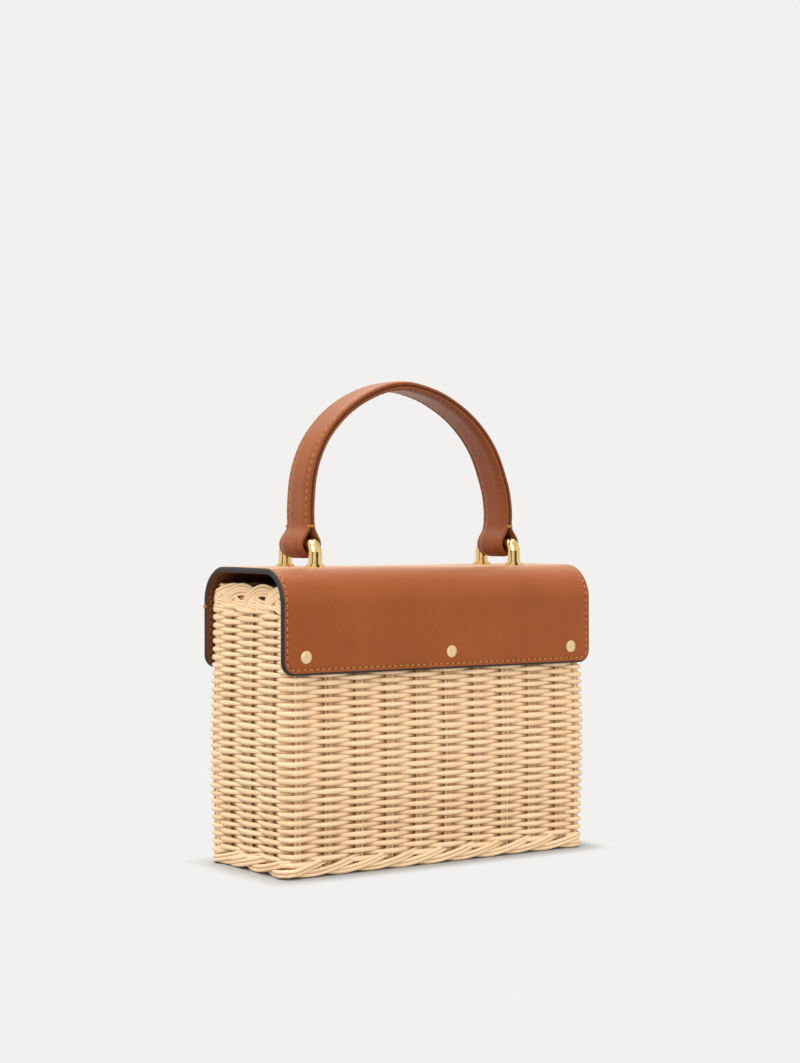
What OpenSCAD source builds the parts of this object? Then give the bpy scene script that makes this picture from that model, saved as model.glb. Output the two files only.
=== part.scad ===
// Wicker box bag with a leather saddle cover.
// A woven reed basket carries a leather cover that is riveted to one long wall, folds over
// the rim as a lid and hangs down the other long wall. A strap handle stands on two brass
// staples screwed through the top of the cover.
// Millimetres. The origin is the centre of the basket's underside, X runs along the bag,
// Z is up, and the riveted wall faces -Y.

/* [Basket] */
// Length of the basket over its reeds
basket_l = 210; // [180:1:250]
// Depth of the basket over its reeds
basket_d = 79; // [70:1:100]
// Height of the basket to the crest of its border
basket_h = 161; // [140:1:190]
// Corner radius of the basket in plan, over its reeds
corner_r = 7; // [6.5:0.5:12]
// Thickness of the woven wall
wall_t = 6; // [5:0.25:7]
// Diameter of the weaving reeds, which is the pitch of the rows
reed_d = 2.27; // [2:0.01:3]
// Number of stakes along each long wall
long_stakes = 11; // [9:2:13]
// Number of stakes along each short wall
short_stakes = 4; // [3:1:5]
// Shift of the stakes of the short walls towards the loose flap's corner
short_shift = 4; // [0:0.5:5]
// Height of the twisted foot border
foot_h = 8.6; // [7:0.1:11]
// Width of the twisted foot border
foot_w = 7.2; // [6:0.1:8]
// Thickness of the woven base
base_t = 4.5; // [3:0.1:6]

/* [Border] */
// Height of the flat band of the border, below its arches
band_h = 3; // [2:0.25:5]
// Radius of an arch of the border, to the middle of its reeds
arch_r = 6.6; // [5.5:0.1:7]
// Thickness of the bundle of reeds in an arch
arch_bundle_d = 4.8; // [4:0.1:5.5]
// Set-in of the arches from the face of the wall, to the middle of their reeds
arch_inset = 5.6; // [5:0.1:6.5]
// Angle at which each arch crosses the line of the wall
arch_skew = 10; // [0:1:15]

/* [Cover] */
// Overhang of the cover beyond each end of the basket
cover_overhang = 3.5; // [1:0.5:8]
// Thickness of the leather, both layers
leather_t = 3; // [2:0.1:3.5]
// Height of the top of the cover
cover_h = 170; // [169:1:200]
// Outer radius of the folds at the top
fold_r = 20; // [14:0.5:21]
// Height of the lower edge of both flaps
flap_z = 111.6; // [90:0.1:125]
// Radius of the lower corners of the flaps
flap_corner_r = 10; // [4:0.5:20]
// Room between the loose flap and the wall
flap_gap = 2.5; // [2.4:0.1:4]

/* [Rivets] */
// Diameter of a rivet's head
rivet_head_d = 7; // [5:0.1:9]
// Height of a rivet's head
rivet_head_h = 1.2; // [1:0.1:2]
// Diameter of a rivet's shank
rivet_shank_d = 3; // [2:0.1:4]
// Distance from a flap's end to the outer rivets
rivet_inset = 15; // [14:0.5:24]
// Height of the rivets above the lower edge of the flap
rivet_rise = 9.9; // [7:0.1:14]
// Shift of the middle rivet along the bag
rivet_shift = 5; // [-6:0.5:6]

/* [Handle] */
// Distance from each end of the cover to its staple
staple_inset = 37.5; // [25:0.5:50]
// Distance between the legs of a staple
leg_span = 32; // [30:0.5:36]
// Diameter of the staple's rod
rod_d = 7.6; // [6:0.1:8]
// Radius of the staple's bends, to the middle of the rod
bend_r = 5; // [4.5:0.1:7]
// Height of the staple over the cover, to the top of its bar
staple_h = 16.6; // [15:0.1:20]
// Diameter of the flange at the foot of a leg
flange_d = 11; // [9.5:0.1:13]
// Height of the flange
flange_h = 1.1; // [0.8:0.1:2]
// Height of the narrower step on the flange
step_h = 0.9; // [0.5:0.1:1.5]
// Width of the handle's strap
strap_w = 23.5; // [20:0.1:23.6]
// Thickness of each layer of the strap
strap_t = 3; // [2:0.1:3.4]
// Height of the crown of the strap's outer face
strap_crown = 0.7; // [0.3:0.1:1]
// Height of the top of the handle
handle_h = 278; // [225:1:320]
// Sideways lean of the top of the soft handle
handle_sway = 5; // [0:0.5:6]
// Length of the end loop from the bar to its stitching
loop_l = 12.4; // [11:0.1:16]

/* [Fasteners] */
// Diameter of the screws that hold the staples
screw_d = 2.9; // [2:0.1:3.4]
// Length of thread in a leg
thread_l = 7; // [4:0.5:9]
// Diameter of the washers under the cover and behind the snap
washer_d = 9; // [8:0.1:11]
// Thickness of the washers
washer_t = 0.8; // [0.5:0.1:1.2]
// Diameter of the magnetic snap
snap_d = 16; // [12:0.5:18]
// Thickness of each half of the snap
snap_t = 1; // [0.8:0.1:1.05]
// Height of the snap above the lower edge of the flap
snap_rise = 15; // [12:0.5:20]

/* [Hidden] */
$fn = 64;
// Air between pieces that are held together
seat = 0.2;
// Air round a shank in its hole
hole_slack = 0.15;
// Play of an end loop on its bar
loop_play = 1.2;
// Height of a screw's head
screw_head_h = 1.8;
// Depth of the grooves that show the reeds of the base
groove_depth = 0.8;

// Colours
reed_colour = [0.87, 0.73, 0.53];
leather_colour = [0.63, 0.33, 0.17];
brass_colour = [0.86, 0.69, 0.34];
steel_colour = [0.70, 0.70, 0.72];

// Heights in the basket
arch_top = arch_r + arch_bundle_d / 2;
wall_top = basket_h - arch_top - band_h;
wall_bottom = foot_h + seat;
rows = round((wall_top - wall_bottom) / reed_d);
row_h = (wall_top - wall_bottom) / rows;

// The cover's faces in plan and section
cover_l = basket_l + 2 * cover_overhang;
back_y = -(basket_d / 2 + seat + leather_t);
front_y = basket_d / 2 + flap_gap + leather_t;
cover_in_z = cover_h - leather_t;
fold_y = back_y + fold_r;
fold_z = cover_h - fold_r;
rivet_z = flap_z + rivet_rise;
rivet_x = [-cover_l / 2 + rivet_inset, rivet_shift, cover_l / 2 - rivet_inset];
snap_z = flap_z + snap_rise;
inner_wall_y = basket_d / 2 - wall_t;

// The handle's bar and arc
bar_z = cover_h + staple_h - rod_d / 2;
loop_r = rod_d / 2 + loop_play;
pinch_z = bar_z + loop_l;
bar_x = cover_l / 2 - staple_inset;
handle_top = handle_h;
screw_head_d = washer_d * 0.62;
leg_y = leg_span / 2;

// Plan of the basket: every entry is [point, outward direction, weave phase].
// A stake has phase 0 or 1, turn by turn, and a point on a corner has phase 0.5.
long_pitch = (basket_l - 2 * corner_r) / (long_stakes - 1);
short_pitch = (basket_d - corner_r) / (short_stakes - 0.45);
function unit(a) = [cos(a), sin(a)];
function long_row(side, first) = [for (i = [0 : long_stakes - 1])
    [[side * (i - (long_stakes - 1) / 2) * long_pitch * -1, side * basket_d / 2],
     [0, side], (first + i) % 2]];
function short_row(side, first) = [for (i = [0 : short_stakes - 1])
    [[side * basket_l / 2, side * ((i - (short_stakes - 1) / 2) * short_pitch - short_shift)],
     [side, 0], (first + i) % 2]];
function corner(sx, sy, from) = [for (a = [22.5, 67.5])
    [[sx * (basket_l / 2 - corner_r), sy * (basket_d / 2 - corner_r)] + corner_r * unit(from + a),
     unit(from + a), 0.5]];
half_count = long_stakes + short_stakes;
plan = concat(long_row(-1, 0), corner(1, -1, -90), short_row(1, long_stakes), corner(1, 1, 0),
              long_row(1, half_count), corner(-1, 1, 90),
              short_row(-1, half_count + long_stakes), corner(-1, -1, 180));
stakes = [for (p = plan) if (p[2] != 0.5) p];

// A rounded rectangle in plan, set in from the reeds by inset
module plan_shape(inset) {
    r = max(corner_r - inset, 1);
    x = basket_l / 2 - inset - r;
    y = basket_d / 2 - inset - r;
    union() {
        square([2 * x, 2 * (y + r)], center = true);
        square([2 * (x + r), 2 * y], center = true);
        for (sx = [-1, 1], sy = [-1, 1])
            translate([sx * x, sy * y]) circle(r);
    }
}

// Woven wall: one solid whose outside rises where a reed passes over a stake and falls
// where it passes behind, row by row
function ring_at(inset, z, wave = 0, row = 0) = [for (p = plan)
    let (depth = p[2] == 0.5 ? 0.5 : abs(p[2] - row % 2))
    let (q = p[0] - (inset + wave * depth) * p[1])
    [q[0], q[1], z]];
wall_rings = concat([ring_at(wall_t, wall_bottom), ring_at(reed_d / 2, wall_bottom)],
                    [for (k = [0 : rows - 1]) ring_at(0, wall_bottom + (k + 0.5) * row_h, reed_d, k)],
                    [ring_at(reed_d / 2, wall_top), ring_at(wall_t, wall_top)]);

// Two triangles that close the cell between two rings, folded along its valley
function cell(a, b, c, d, valley) = valley ? [[a, b, d], [b, c, d]] : [[a, b, c], [a, c, d]];

// A closed skin over rings of equal count; the last ring joins the first
module ring_skin(rings, phase) {
    n = len(rings[0]);
    m = len(rings);
    faces = [for (k = [0 : m - 1], i = [0 : n - 1])
        let (j = (i + 1) % n, l = (k + 1) % m)
        each cell(k * n + i, l * n + i, l * n + j, k * n + j, phase[i] == k % 2)];
    polyhedron([for (r = rings) each r], faces);
}

module woven_wall() {
    color(reed_colour) difference() {
        ring_skin(wall_rings, [for (p = plan) p[2]]);
        rivet_holes(rivet_shank_d + 2 * hole_slack);
        translate([0, basket_d / 2 + 1, snap_z]) rotate([90, 0, 0])
            cylinder(d = rivet_shank_d + 2 * hole_slack, h = wall_t + 2);
    }
}

// Woven base: a flat mat with the grooves between its reeds on the inside
base_inset = foot_w + seat;
base_reeds = floor((basket_d - 2 * base_inset) / (2 * reed_d));
module woven_base() {
    color(reed_colour) difference() {
        linear_extrude(base_t) plan_shape(base_inset);
        for (i = [1 : base_reeds - 1])
            translate([0, (i / base_reeds - 0.5) * (basket_d - 2 * base_inset), base_t])
                cube([basket_l, reed_d / 4, 2 * groove_depth], center = true);
    }
}

// Border: a flat band on the wall, and an arch of folded stakes from each stake to the next
module border_arch() {
    rotate([90, 0, 0]) rotate_extrude(angle = 180, $fn = 32)
        translate([arch_r, 0]) circle(d = arch_bundle_d, $fn = 24);
}

module top_border() {
    count = len(stakes);
    color(reed_colour) {
        translate([0, 0, wall_top]) linear_extrude(band_h) difference() {
            plan_shape(0.4);
            plan_shape(wall_t);
        }
        for (i = [0 : count - 1]) {
            a = stakes[i];
            b = stakes[(i + 1) % count];
            middle = (a[0] + b[0]) / 2 - arch_inset * (a[1] + b[1]) / norm(a[1] + b[1]);
            run = b[0] - a[0];
            if (norm(run) > 2 * arch_r)
                translate([middle[0], middle[1], wall_top + band_h])
                    rotate([0, 0, atan2(run[1], run[0]) + arch_skew]) border_arch();
        }
    }
}

// Foot border: a two-strand rope laid round the base
rope_sides = 8;
rope_steps = 4;
rope_lobe = 0.14;
function rope_path() = let (count = len(plan)) [for (i = [0 : count - 1], s = [0 : rope_steps - 1])
    let (a = plan[i], b = plan[(i + 1) % count], t = s / rope_steps)
    let (dir = a[1] * (1 - t) + b[1] * t, out = dir / norm(dir))
    [a[0] * (1 - t) + b[0] * t - foot_w / 2 * out, out]];
function rope_ring(p, turn) = [for (s = [0 : rope_sides - 1])
    let (a = -360 * s / rope_sides, r = 1 - rope_lobe + rope_lobe * cos(2 * (a - turn)))
    let (side = foot_w / 2 * r * cos(a), up = foot_h / 2 * r * sin(a))
    [p[0][0] + side * p[1][0], p[0][1] + side * p[1][1], foot_h / 2 + up]];

module foot_border() {
    path = rope_path();
    count = len(path);
    color(reed_colour)
        ring_skin([for (i = [0 : count - 1]) rope_ring(path[i], 180 * i / rope_steps)],
                  [for (s = [0 : rope_sides - 1]) 0]);
}

// Leather cover in section, y across the bag and z up: an inverted U with round folds
module cover_section(inset) {
    r = fold_r - inset;
    low = flap_z - (inset > 0 ? 1 : 0);
    union() {
        translate([back_y + inset, low])
            square([front_y - back_y - 2 * inset, fold_z - low]);
        translate([fold_y, low]) square([front_y - back_y - 2 * fold_r, cover_h - inset - low]);
        for (y = [fold_y, front_y - fold_r])
            translate([y, fold_z]) circle(r);
    }
}

// Outline of both flaps along the bag, with round lower corners
module cover_outline() {
    x = cover_l / 2 - flap_corner_r;
    union() {
        translate([-cover_l / 2, flap_z + flap_corner_r])
            square([cover_l, cover_h - flap_z]);
        translate([-x, flap_z]) square([2 * x, cover_h - flap_z]);
        for (sx = [-1, 1])
            translate([sx * x, flap_z + flap_corner_r]) circle(flap_corner_r);
    }
}

module cover_sheet() {
    intersection() {
        rotate([90, 0, 90]) linear_extrude(cover_l, center = true) difference() {
            cover_section(0);
            cover_section(leather_t);
        }
        rotate([90, 0, 0]) linear_extrude(2 * (front_y - back_y), center = true) cover_outline();
    }
}

// The half of space on the lid's side (1) or the riveted side (-1) of the fold's middle
module fold_side(side) {
    reach = 2 * cover_h;
    translate([0, fold_y, fold_z]) rotate([45, 0, 0])
        translate([0, side * (reach + seat) / 2, 0]) cube([2 * cover_l, reach, reach], center = true);
}

module rivet_holes(d) {
    for (x = rivet_x)
        translate([x, back_y - rivet_head_h, rivet_z]) rotate([-90, 0, 0])
            cylinder(d = d, h = leather_t + wall_t + 2 * rivet_head_h + 2 * washer_t);
}

module cover_back() {
    color(leather_colour) difference() {
        intersection() {
            cover_sheet();
            fold_side(-1);
        }
        rivet_holes(rivet_shank_d + 2 * hole_slack);
    }
}

module screw_holes(d, from, h) {
    for (sx = [-1, 1], sy = [-1, 1])
        translate([sx * bar_x, sy * leg_y, from]) cylinder(d = d, h = h);
}

module cover_lid() {
    color(leather_colour) difference() {
        intersection() {
            cover_sheet();
            fold_side(1);
        }
        screw_holes(screw_d + 2 * hole_slack, cover_in_z - 1, leather_t + 2);
    }
}

// Rivets: a low domed head, and a shank that reaches the washer inside the wall
module rivet() {
    dome_r = (pow(rivet_head_d / 2, 2) + pow(rivet_head_h, 2)) / (2 * rivet_head_h);
    union() {
        intersection() {
            translate([0, 0, rivet_head_h - dome_r]) sphere(dome_r);
            cylinder(d = rivet_head_d, h = rivet_head_h);
        }
        translate([0, 0, -leather_t - seat - wall_t - washer_t])
            cylinder(d = rivet_shank_d, h = leather_t + seat + wall_t + washer_t + rivet_head_h / 2);
    }
}

module back_rivets() {
    color(brass_colour) for (x = rivet_x)
        translate([x, back_y, rivet_z]) rotate([90, 0, 0]) rivet();
}

module washer(bore, d = washer_d) {
    difference() {
        cylinder(d = d, h = washer_t);
        translate([0, 0, -washer_t]) cylinder(d = bore + 2 * hole_slack, h = 3 * washer_t);
    }
}

module rivet_washers() {
    color(brass_colour) for (x = rivet_x)
        translate([x, -inner_wall_y, rivet_z]) rotate([-90, 0, 0]) washer(rivet_shank_d, rivet_head_d);
}

// Magnetic snap: a flat disc on the wall with a post through it, a plate behind the wall,
// and a flat disc inside the loose flap
module snap_socket() {
    color(steel_colour) translate([0, basket_d / 2, snap_z]) rotate([90, 0, 0]) union() {
        translate([0, 0, -snap_t]) cylinder(d = snap_d, h = snap_t);
        translate([0, 0, -snap_t / 2]) cylinder(d = rivet_shank_d, h = wall_t + snap_t / 2 + washer_t);
    }
}

module snap_backing() {
    color(steel_colour) translate([0, inner_wall_y, snap_z]) rotate([90, 0, 0])
        washer(rivet_shank_d);
}

module snap_stud() {
    color(steel_colour) translate([0, front_y - leather_t, snap_z]) rotate([90, 0, 0])
        cylinder(d = snap_d, h = snap_t);
}

// Staples: a round rod bent into an arch, with a flange at the foot of each leg
module staple_bend() {
    rotate([90, 0, 90]) rotate_extrude(angle = 90)
        translate([bend_r, 0]) circle(d = rod_d);
}

module staple() {
    rise = bar_z - bend_r - cover_h;
    bar_l = leg_span - 2 * bend_r;
    difference() {
        union() {
            rotate([90, 0, 0]) translate([0, bar_z, 0]) cylinder(d = rod_d, h = bar_l, center = true);
            for (turn = [0, 180]) rotate([0, 0, turn]) {
                translate([0, leg_y - bend_r, bar_z - bend_r]) staple_bend();
                translate([0, leg_y, cover_h]) cylinder(d = rod_d, h = rise);
                translate([0, leg_y, cover_h]) cylinder(d = flange_d, h = flange_h);
                translate([0, leg_y, cover_h])
                    cylinder(d = (flange_d + rod_d) / 2, h = flange_h + step_h);
            }
        }
        for (sy = [-1, 1])
            translate([0, sy * leg_y, cover_h - 1])
                cylinder(d = screw_d + hole_slack / 2, h = thread_l + 1);
    }
}

module left_staple() {
    color(brass_colour) translate([-bar_x, 0, 0]) staple();
}

module right_staple() {
    color(brass_colour) translate([bar_x, 0, 0]) staple();
}

module staple_washers() {
    color(steel_colour) for (sx = [-1, 1], sy = [-1, 1])
        translate([sx * bar_x, sy * leg_y, cover_in_z - washer_t]) washer(screw_d);
}

module staple_screws() {
    head_top = cover_in_z - washer_t;
    color(steel_colour) union() {
        screw_holes(screw_head_d, head_top - screw_head_h, screw_head_h);
        screw_holes(screw_d, head_top - screw_head_h / 2,
                    screw_head_h / 2 + washer_t + leather_t + thread_l - hole_slack);
    }
}

// Handle: two leather layers sewn together, the outer one looped round each staple's bar

// Section of a layer, x outward from the handle's middle line and y across the strap
module outer_section() {
    edge_t = strap_t - strap_crown;
    polygon([[0, -strap_w / 2], [edge_t, -strap_w / 2], [strap_t - strap_crown / 4, -strap_w / 3],
             [strap_t, -strap_w / 8], [strap_t, strap_w / 8], [strap_t - strap_crown / 4, strap_w / 3],
             [edge_t, strap_w / 2], [0, strap_w / 2]]);
}

module lining_section() {
    translate([seat / 4 - strap_t, -strap_w / 2]) square([strap_t - seat / 2, strap_w]);
}

// Half of the handle, from its top to the stitching over a loop, with a section's module as child.
// A handle too low for a full quarter circle has a level top between its shoulders.
module handle_half(side, from_z) {
    mid_top = handle_top - strap_t;
    reach = bar_x + side * handle_sway;
    radius = min(reach, mid_top - pinch_z - 2 * seat);
    turn = [side < 0 ? 1 : 0, 0, 0];
    translate([side * (bar_x - radius), 0, mid_top - radius]) rotate([90, 0, 0]) mirror(turn)
        rotate_extrude(angle = 90, $fn = 128) translate([radius, 0]) children();
    translate([side * bar_x, 0, from_z]) mirror(turn)
        linear_extrude(mid_top - radius - from_z) children();
    if (reach > radius)
        translate([side * (bar_x - radius), 0, mid_top]) mirror(turn) rotate([0, -90, 0])
            linear_extrude(reach - radius) children();
}

// Angle at which a line from point p touches a circle of radius r round the origin, right of p
function touch(p, r) = atan2(p[1], p[0]) - acos(r / norm(p));

// A drop: round below, with straight sides that run up to a neck
module drop(r, half_w, l) {
    t = touch([half_w, l], r);
    steps = 40;
    polygon(concat([[half_w, l], [-half_w, l]],
                   [for (i = [0 : steps]) r * unit(180 - t + (180 + 2 * t) * i / steps)]));
}

module end_loop() {
    rotate([90, 0, 0]) linear_extrude(strap_w, center = true) difference() {
        drop(loop_r + strap_t, strap_t, loop_l);
        drop(loop_r, 0.05, loop_l - strap_t / 2);
    }
}

module handle_strap() {
    color(leather_colour) for (side = [-1, 1]) {
        handle_half(side, pinch_z) outer_section();
        translate([side * bar_x, 0, bar_z]) end_loop();
    }
}

module handle_lining() {
    color(leather_colour) for (side = [-1, 1])
        handle_half(side, pinch_z + seat) lining_section();
}

woven_wall();
woven_base();
top_border();
foot_border();
cover_back();
back_rivets();
rivet_washers();
snap_socket();
snap_backing();
cover_lid();
handle_strap();
handle_lining();
left_staple();
right_staple();
staple_washers();
staple_screws();
snap_stud();
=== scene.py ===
import math

import bpy
import numpy as np
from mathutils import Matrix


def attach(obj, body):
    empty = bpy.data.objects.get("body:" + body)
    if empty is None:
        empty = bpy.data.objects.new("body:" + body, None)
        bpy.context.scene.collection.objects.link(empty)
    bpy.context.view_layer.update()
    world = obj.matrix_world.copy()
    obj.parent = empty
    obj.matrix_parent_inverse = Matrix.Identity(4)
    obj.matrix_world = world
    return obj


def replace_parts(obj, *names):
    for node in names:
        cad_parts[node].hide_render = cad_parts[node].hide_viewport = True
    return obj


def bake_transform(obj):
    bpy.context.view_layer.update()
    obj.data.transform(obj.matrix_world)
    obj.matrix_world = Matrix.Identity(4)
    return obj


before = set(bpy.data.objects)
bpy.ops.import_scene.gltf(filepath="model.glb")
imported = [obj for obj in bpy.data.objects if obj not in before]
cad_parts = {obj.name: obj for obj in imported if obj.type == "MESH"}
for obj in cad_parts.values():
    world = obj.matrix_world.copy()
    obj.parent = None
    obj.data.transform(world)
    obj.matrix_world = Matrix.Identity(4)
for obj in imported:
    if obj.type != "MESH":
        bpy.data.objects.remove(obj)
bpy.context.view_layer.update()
rng = np.random.default_rng(7)

# Sizes in millimetres. They are the construction's, but for some that are read from the
# photograph: the corner radii, the number and places of the stakes, and the handle's pinch.

MM = 0.001
LENGTH, DEPTH = 210.0, 79.0
CORNER, INSET = 6.0, 3.5
LONG, SHORT = 11, 3
LONG_PITCH, LONG_START, LONG_END = 20.5, 3.1, 200.3
SHORT_PITCH, SHORT_SHIFT = 22.5, 3.5
STAKES = 2 * (LONG + SHORT)
COVER_L, LEATHER = 217.0, 3.0
BACK_Y, FRONT_Y = -42.7, 45.0
TOP_Z, FOLD_R, FLAP_Z, FLAP_R = 170.0, 20.0, 111.6, 7.5
RIVETS = [(-93.5, 121.5), (5.0, 121.5), (93.5, 121.5)]
BAR_X, BAR_Z = 71.0, 182.8
STRAP_W, STRAP_T = 23.5, 3.0
PINCH_Z = 192.0


# Lines and meshes

UP = (0, 0, 1)


def unit(v):
    return v / np.maximum(np.linalg.norm(v, axis=-1, keepdims=True), 1e-9)


def run_length(path):
    """The distance of each point from the path's start, along the path."""
    steps = np.linalg.norm(np.diff(path, axis=0), axis=1)
    return np.concatenate([[0], np.cumsum(steps)])


def at_distance(s, run, line):
    """Values at distances s along a flat line, given at the distances run of its points."""
    return np.stack([np.interp(s, run, line[:, 0]), np.interp(s, run, line[:, 1])], -1)


def left_of(path):
    """The direction to the left of a flat path, at each point."""
    t = unit(np.gradient(path, axis=0))
    return np.stack([-t[:, 1], t[:, 0]], -1)


def round_angles(count):
    return np.arange(count) * 2 * math.pi / count


def smooth_path(points, count):
    """A smooth curve through control points (Catmull-Rom)."""
    p = np.asarray(points, float)
    p = np.concatenate([[2 * p[0] - p[1]], p, [2 * p[-1] - p[-2]]])
    t = np.linspace(0, len(p) - 3 - 1e-6, count)
    i = t.astype(int)
    u = (t - i)[:, None]
    a, b, c, d = p[i], p[i + 1], p[i + 2], p[i + 3]
    return 0.5 * (2 * b + (c - a) * u + (2 * a - 5 * b + 4 * c - d) * u ** 2
                  + (3 * b - a - 3 * c + d) * u ** 3)


class Builder:
    """Collects vertices and faces, in millimetres, into one mesh object."""

    def __init__(self):
        self.points, self.faces, self.kinds, self.attrs = [], [], [], {}
        self.count = 0

    def add_points(self, verts, **attrs):
        """Takes vertices, with a value or values of each attribute, and gives the first's number."""
        verts = np.asarray(verts, float).reshape(-1, 3)
        first = self.count
        self.points.append(verts)
        self.count += len(verts)
        for name, value in attrs.items():
            value = np.broadcast_to(np.asarray(value, float), (len(verts),))
            self.attrs.setdefault(name, []).append(value)
        return first

    def add_faces(self, faces, material=0):
        """Takes faces by the numbers of vertices that are in already."""
        self.faces.append(np.asarray(faces, int))
        self.kinds.append(np.full(len(faces), material))

    def add(self, verts, faces, material=0, **attrs):
        """Takes vertices and the faces between them, numbered from the first of them."""
        first = self.add_points(verts, **attrs)
        self.add_faces(np.asarray(faces, int) + first, material)
        return first

    def make(self, name, materials):
        verts = np.concatenate(self.points) * MM
        faces = [face.tolist() for block in self.faces for face in block]
        mesh = bpy.data.meshes.new(name)
        mesh.from_pydata(verts.tolist(), [], faces)
        for mat in materials:
            mesh.materials.append(mat)
        mesh.polygons.foreach_set("material_index", np.concatenate(self.kinds).astype(np.int32))
        mesh.polygons.foreach_set("use_smooth", np.full(len(faces), True))
        for attr, blocks in self.attrs.items():
            a = mesh.attributes.new(attr, "FLOAT", "POINT")
            a.data.foreach_set("value", np.concatenate(blocks).astype(np.float32))
        mesh.update()
        return add_object(name, mesh)


def add_object(name, data):
    obj = bpy.data.objects.new(name, data)
    bpy.context.scene.collection.objects.link(obj)
    return obj


def grid_faces(rows, cols, wrap_rows, wrap_cols):
    r = np.arange(rows if wrap_rows else rows - 1)
    c = np.arange(cols if wrap_cols else cols - 1)
    a, b = np.meshgrid(r, c, indexing="ij")
    a2, b2 = (a + 1) % rows, (b + 1) % cols
    quads = np.stack([a * cols + b, a * cols + b2, a2 * cols + b2, a2 * cols + b], -1)
    return quads.reshape(-1, 4)


def add_tube(builder, path, ref, radius, tone, sides=8, closed=False, taper=0.0, tall=1.0,
             deep=0.0):
    """A reed along a path. ref is a direction never along it, tall the stretch that way.

    tone is the reed's own shade and taper how much its ends narrow. deep is a painted shade
    from 0 to 1, laid on the reed's outer side where it lies behind the stakes.
    """
    n = len(path)

    def at_points(value):
        return np.broadcast_to(np.asarray(value, float), (n,))

    if closed:
        tangent = unit(np.roll(path, -1, 0) - np.roll(path, 1, 0))
    else:
        tangent = unit(np.gradient(path, axis=0))
    ref = np.broadcast_to(np.asarray(ref, float), path.shape)
    up = unit(ref - (ref * tangent).sum(1, keepdims=True) * tangent)
    side = np.cross(tangent, up)
    up = up * at_points(tall)[:, None]
    r = at_points(radius).copy()
    r[[0, -1]] *= 1 - taper
    a = round_angles(sides)
    ring = np.cos(a)[None, :, None] * side[:, None, :] + np.sin(a)[None, :, None] * up[:, None, :]
    verts = path[:, None, :] + r[:, None, None] * ring
    # Painted shade, laid on the reed's outer side
    shade = at_points(deep)[:, None] * (0.5 + 0.5 * np.cos(a))
    first = builder.add(verts, grid_faces(n, sides, closed, True), tone=tone,
                        along=np.repeat(run_length(path), sides), deep=shade.ravel())
    if not closed:
        for start, order in ((first, -1), (first + (n - 1) * sides, 1)):
            loop = np.arange(sides)[::order] + start
            builder.add_faces([[loop[0], loop[i], loop[i + 1]] for i in range(1, sides - 1)])


# Materials

class Graph:
    """The node tree of a material or the world, with short ways to add to it."""

    def __init__(self, owner):
        owner.use_nodes = True
        self.nodes, self.links = owner.node_tree.nodes, owner.node_tree.links

    def feed(self, socket, value):
        """Links a socket to another one, or sets it to a number, a vector or a colour."""
        if isinstance(value, bpy.types.NodeSocket):
            self.links.new(value, socket)
        elif socket.type == "RGBA":
            socket.default_value = (*value, 1)
        else:
            socket.default_value = value

    def set(self, node, **values):
        """Gives a node its settings and inputs by name, with _ for a space in an input's name."""
        for name, value in values.items():
            if hasattr(node, name):
                setattr(node, name, value)
            else:
                self.feed(node.inputs[name.replace("_", " ")], value)

    def node(self, kind, **values):
        node = self.nodes.new(kind)
        self.set(node, **values)
        return node

    def place(self):
        return self.node("ShaderNodeTexCoord").outputs["Object"]

    def attribute(self, name):
        return self.node("ShaderNodeAttribute", attribute_name=name).outputs["Fac"]

    def calc(self, operation, *values, kind="ShaderNodeMath", result=0):
        node = self.node(kind, operation=operation)
        for socket, value in zip(node.inputs, values):
            self.feed(socket, value)
        return node.outputs[result]

    def ramp(self, source, *stops):
        node = self.node("ShaderNodeValToRGB")
        elements = node.color_ramp.elements
        while len(elements) < len(stops):
            elements.new(0.5)
        for element, (position, colour) in zip(elements, stops):
            element.position = position
            element.color = (*colour, 1)
        self.links.new(source, node.inputs[0])
        return node.outputs[0]

    def multiply(self, share, a, b):
        """Colour a, multiplied by colour b to the given share."""
        node = self.node("ShaderNodeMix", data_type="RGBA", blend_type="MULTIPLY")
        for socket, value in ((0, share), (6, a), (7, b)):
            self.feed(node.inputs[socket], value)
        return node.outputs[2]

    def mix_shaders(self, share, first, second):
        node = self.node("ShaderNodeMixShader")
        for socket, value in zip(node.inputs, (share, first, second)):
            self.links.new(value, socket)
        return node.outputs[0]

    def bump(self, shader, height, strength, distance):
        node = self.node("ShaderNodeBump", Strength=strength, Distance=distance, Height=height)
        self.links.new(node.outputs[0], shader.inputs["Normal"])


WHITE = (1, 1, 1)


def grey(value):
    return (value,) * 3


def new_material(name):
    mat = bpy.data.materials.new(name)
    graph = Graph(mat)
    return mat, graph, graph.nodes["Principled BSDF"]


# Reed: patches drawn out along each reed, fine flecks, and a dark tint of painted shade where it
# lies behind the stakes
PATCH_STRETCH = (0.035, 90, 1)
PATCH_SHARE, TONE_SHARE = 0.75, 0.3
FLECK_TINT, FLECK_SHARE = (0.80, 0.74, 0.66), 0.55
# Colour of the painted shade on reeds that lie behind the stakes
PAINTED_SHADE_TINT = (0.40, 0.22, 0.10)


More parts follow.
